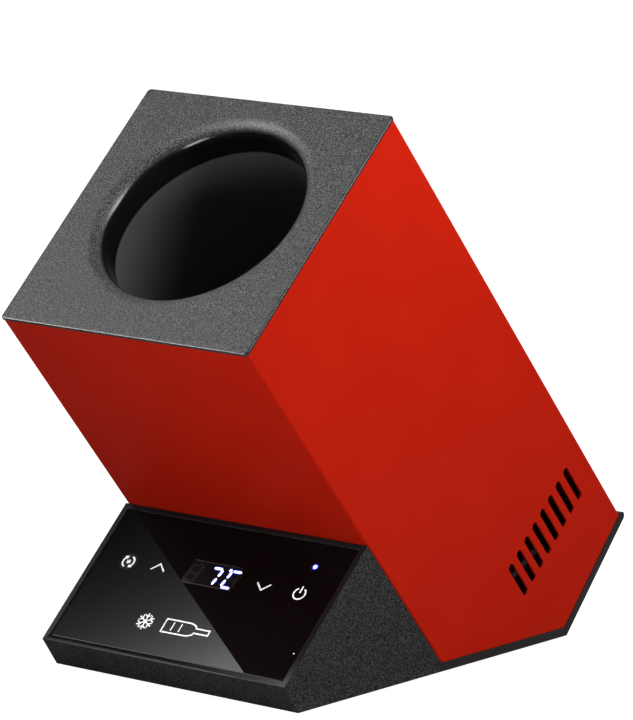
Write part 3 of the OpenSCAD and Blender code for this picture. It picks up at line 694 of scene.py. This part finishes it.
def segment_outline(digit_x, letter, width):
    """One bar of a leaning digit, pointed at both ends."""
    ends = []
    for u, w in SEGMENTS[letter]:
        lean = (w - 0.5) * DIGIT_H * DIGIT_LEAN
        ends.append(Vector((digit_x + u * DIGIT_W - lean, DIGIT_DOWN + w * DIGIT_H)))
    along = (ends[1] - ends[0]).normalized()
    side = Vector((-along.y, along.x)) * width / 2
    tip = along * width / 2
    a, b = ends[0] + along * BAR_GAP, ends[1] - along * BAR_GAP
    points = (a, a + tip + side, b - tip + side, b, b - tip - side, a + tip - side)
    return [tuple(p) for p in points]


def bars(digits, width, lift):
    """Filled bars, with digits as pairs of a place and its letters, as a list of parts."""
    return [outline(segment_outline(DIGIT_X[d], letter, width), lift) for d, row in digits for letter in row]


def display():
    """The dark window with 7 and a degree sign with C lit, and the unlit bars faintly outlined."""
    corners = [(WINDOW_LEFT, WINDOW_TOP), (WINDOW_RIGHT, WINDOW_TOP),
               (WINDOW_RIGHT, WINDOW_BOTTOM), (WINDOW_LEFT, WINDOW_BOTTOM)]
    mark("display_window", [outline(corners, 0.0, MARK_T / 2)], WINDOW_FACE, "display")
    rails = [stroke([(WINDOW_LEFT + 0.6, d), (WINDOW_RIGHT, d)], 0.45, MARK_T / 2)
             for d in (WINDOW_TOP + 0.5, WINDOW_BOTTOM - 0.5)]
    mark("display_edges", rails, WINDOW_EDGE, "display")
    lit = ((1, "abc"), (2, "adef"))
    mark("display_halo", bars(lit, BAR + 1.1, MARK_T), SEGMENT_HALO, "led")
    mark("display_lit", bars(lit, BAR, 2 * MARK_T), SEGMENT_LIT, "led")
    unlit = ((0, "abcdefg"), (2, "bcg"))
    ghosts = [stroke(segment_outline(DIGIT_X[d], letter, BAR), 0.16, MARK_T, closed=True)
              for d, row in unlit for letter in row]
    mark("display_unlit", ghosts, SEGMENT_OFF, "display")


def lamp(name, x, down, r, halo_r, lift):
    """A lit dot with a blue halo under it."""
    mark(name + "_halo", [disc(x, down, halo_r, lift)], SEGMENT_HALO, "led")
    mark(name + "_lit", [disc(x, down, r, lift + MARK_T)], SEGMENT_LIT, "led")


display()
lamp("degree", DIGIT_X[2] - 0.2, DIGIT_DOWN - 0.2, 0.75, 1.15, MARK_T)
lamp("status", 49.8, 15.9, 1.0, 1.7, 0.0)
mark("mark_dot", [disc(64.8, 62.6, 0.35, count=12)], GLOWING_PRINT)

# ---------------------------------------------------------------- stage, lights and camera


def ray_switch(tree, kind, seen, unseen):
    """A value that is seen for rays of one kind and unseen for the rest."""
    path = tree.nodes.new("ShaderNodeLightPath")
    made = tree.nodes.new("ShaderNodeMapRange")
    made.inputs["To Min"].default_value = unseen
    made.inputs["To Max"].default_value = seen
    tree.links.new(path.outputs[kind], made.inputs["Value"])
    return made.outputs["Result"]


def stage_floor():
    """A pale table that looks evenly lit to the camera."""
    reach = 9.0
    mesh = bpy.data.meshes.new("floor")
    mesh.from_pydata([(-reach, -reach, 0), (reach, -reach, 0), (reach, reach, 0), (-reach, reach, 0)],
                     [], [(0, 1, 2, 3)])
    shade = Shade("floor", (0.30, 0.30, 0.30), 0.9, Specular_IOR_Level=0.0)
    shade.color_from(shade.noise(120, 2.0), (0.29, 0.29, 0.29), (0.31, 0.31, 0.31))
    shade.set("Emission Color", (1.0, 1.0, 1.0, 1.0))
    shade.link(ray_switch(shade.tree, "Is Camera Ray", 0.99, 0.0), shade.bsdf.inputs["Emission Strength"])
    mesh.materials.append(shade.mat)
    floor = bpy.data.objects.new("floor", mesh)
    bpy.context.scene.collection.objects.link(floor)


def softbox(name, place, target, size, power, gloss_only=False):
    """A soft rectangular light in watts, seen in reflections alone where it is gloss_only."""
    light = bpy.data.lights.new(name, "AREA")
    light.shape = "RECTANGLE"
    light.size, light.size_y = size
    light.energy = power
    obj = bpy.data.objects.new(name, light)
    obj.location = place
    obj.rotation_euler = (Vector(target) - Vector(place)).to_track_quat("-Z", "Y").to_euler()
    obj.visible_camera = False
    obj.visible_diffuse = not gloss_only
    bpy.context.scene.collection.objects.link(obj)


def graded_panel(name, corner, along, across, low, high, rise):
    """A glowing sheet from a corner: its light grows from low by e for each 1 / rise metres, up to high."""
    mesh = bpy.data.meshes.new(name)
    row = 25
    verts, levels = [], []
    for k in range(row):
        for j in range(row):
            u, w = along * (k / (row - 1)), across * (j / (row - 1))
            verts.append(corner + u + w)
            levels.append(min(high, low * math.exp(rise[0] * u.length + rise[1] * w.length)))
    starts = [k * row + j for k in range(row - 1) for j in range(row - 1)]
    mesh.from_pydata(verts, [], [(i, i + 1, i + row + 1, i + row) for i in starts])
    mesh.attributes.new("level", "FLOAT", "POINT").data.foreach_set("value", levels)
    mat = bpy.data.materials.new(name)
    mat.use_nodes = True
    tree = mat.node_tree
    tree.nodes.clear()
    level = tree.nodes.new("ShaderNodeAttribute")
    level.attribute_name = "level"
    glowing = tree.nodes.new("ShaderNodeEmission")
    out = tree.nodes.new("ShaderNodeOutputMaterial")
    tree.links.new(level.outputs["Fac"], glowing.inputs["Strength"])
    tree.links.new(glowing.outputs["Emission"], out.inputs["Surface"])
    mesh.materials.append(mat)
    obj = bpy.data.objects.new(name, mesh)
    bpy.context.scene.collection.objects.link(obj)
    obj.visible_camera = False


def studio():
    """White all round for the camera, dim for reflections, with a graded sheet at the upper left."""
    world = bpy.data.worlds.new("studio")
    bpy.context.scene.world = world
    world.use_nodes = True
    tree = world.node_tree
    back = tree.nodes["Background"]
    back.inputs["Color"].default_value = (1, 1, 1, 1)
    level = tree.nodes.new("ShaderNodeMath")
    level.operation = "ADD"
    tree.links.new(ray_switch(tree, "Is Camera Ray", 1.0, 0.0), level.inputs[0])
    tree.links.new(ray_switch(tree, "Is Diffuse Ray", 0.11, 0.02), level.inputs[1])
    tree.links.new(level.outputs["Value"], back.inputs["Strength"])
    bpy.context.scene.view_settings.view_transform = "Standard"

    # The glass mirrors this sheet, and one of its straight sides is the diagonal across the keys
    edge = Vector((0.771, -0.600, -0.217))
    fall = Vector((-0.600, -0.570, -0.560))
    corner = Vector((-0.992, -0.279, 1.226)) - edge * 0.02 - fall * 0.06
    graded_panel("sheet_left", corner, edge * 0.34, fall * 0.6, 0.14, 16.0, (23.5, 5.0))
    softbox("key_right", (0.46, 0.0, 0.53), (0.07, 0.02, 0.16), (0.3, 0.3), 2.9)
    softbox("front_low", (0.14, -0.42, 0.02), (0.03, -0.10, 0.13), (0.15, 0.1), 0.62)
    softbox("front_left", (-0.75, -0.95, 0.62), (0, -0.02, 0.22), (0.6, 0.35), 18.0, gloss_only=True)
    softbox("back_fill", (-0.9, 0.9, 0.7), (0, 0, 0.15), (0.8, 0.8), 9.0)


def camera():
    """The view: from the front right and a little above, tilted by a degree or so, from far away."""
    azimuth, elevation, roll = math.radians(37.03), math.radians(9.63), math.radians(1.42)
    distance = 2.238
    target = Vector((-0.0042, -0.0016, 0.1396))
    forward = Vector((-math.sin(azimuth) * math.cos(elevation), math.cos(azimuth) * math.cos(elevation),
                      -math.sin(elevation)))
    level = forward.cross(Vector((0, 0, 1))).normalized()
    upright = level.cross(forward)
    right = level * math.cos(roll) + upright * math.sin(roll)
    up = right.cross(forward)
    data = bpy.data.cameras.new("camera")
    data.sensor_fit = "VERTICAL"
    data.sensor_height = 24.0
    data.lens = 159.86
    data.clip_end = 50.0
    obj = bpy.data.objects.new("camera", data)
    turn = Matrix((right, up, -forward)).transposed().to_4x4()
    obj.matrix_world = Matrix.Translation(target - forward * distance) @ turn
    bpy.context.scene.collection.objects.link(obj)
    bpy.context.scene.camera = obj


stage_floor()
studio()
camera()
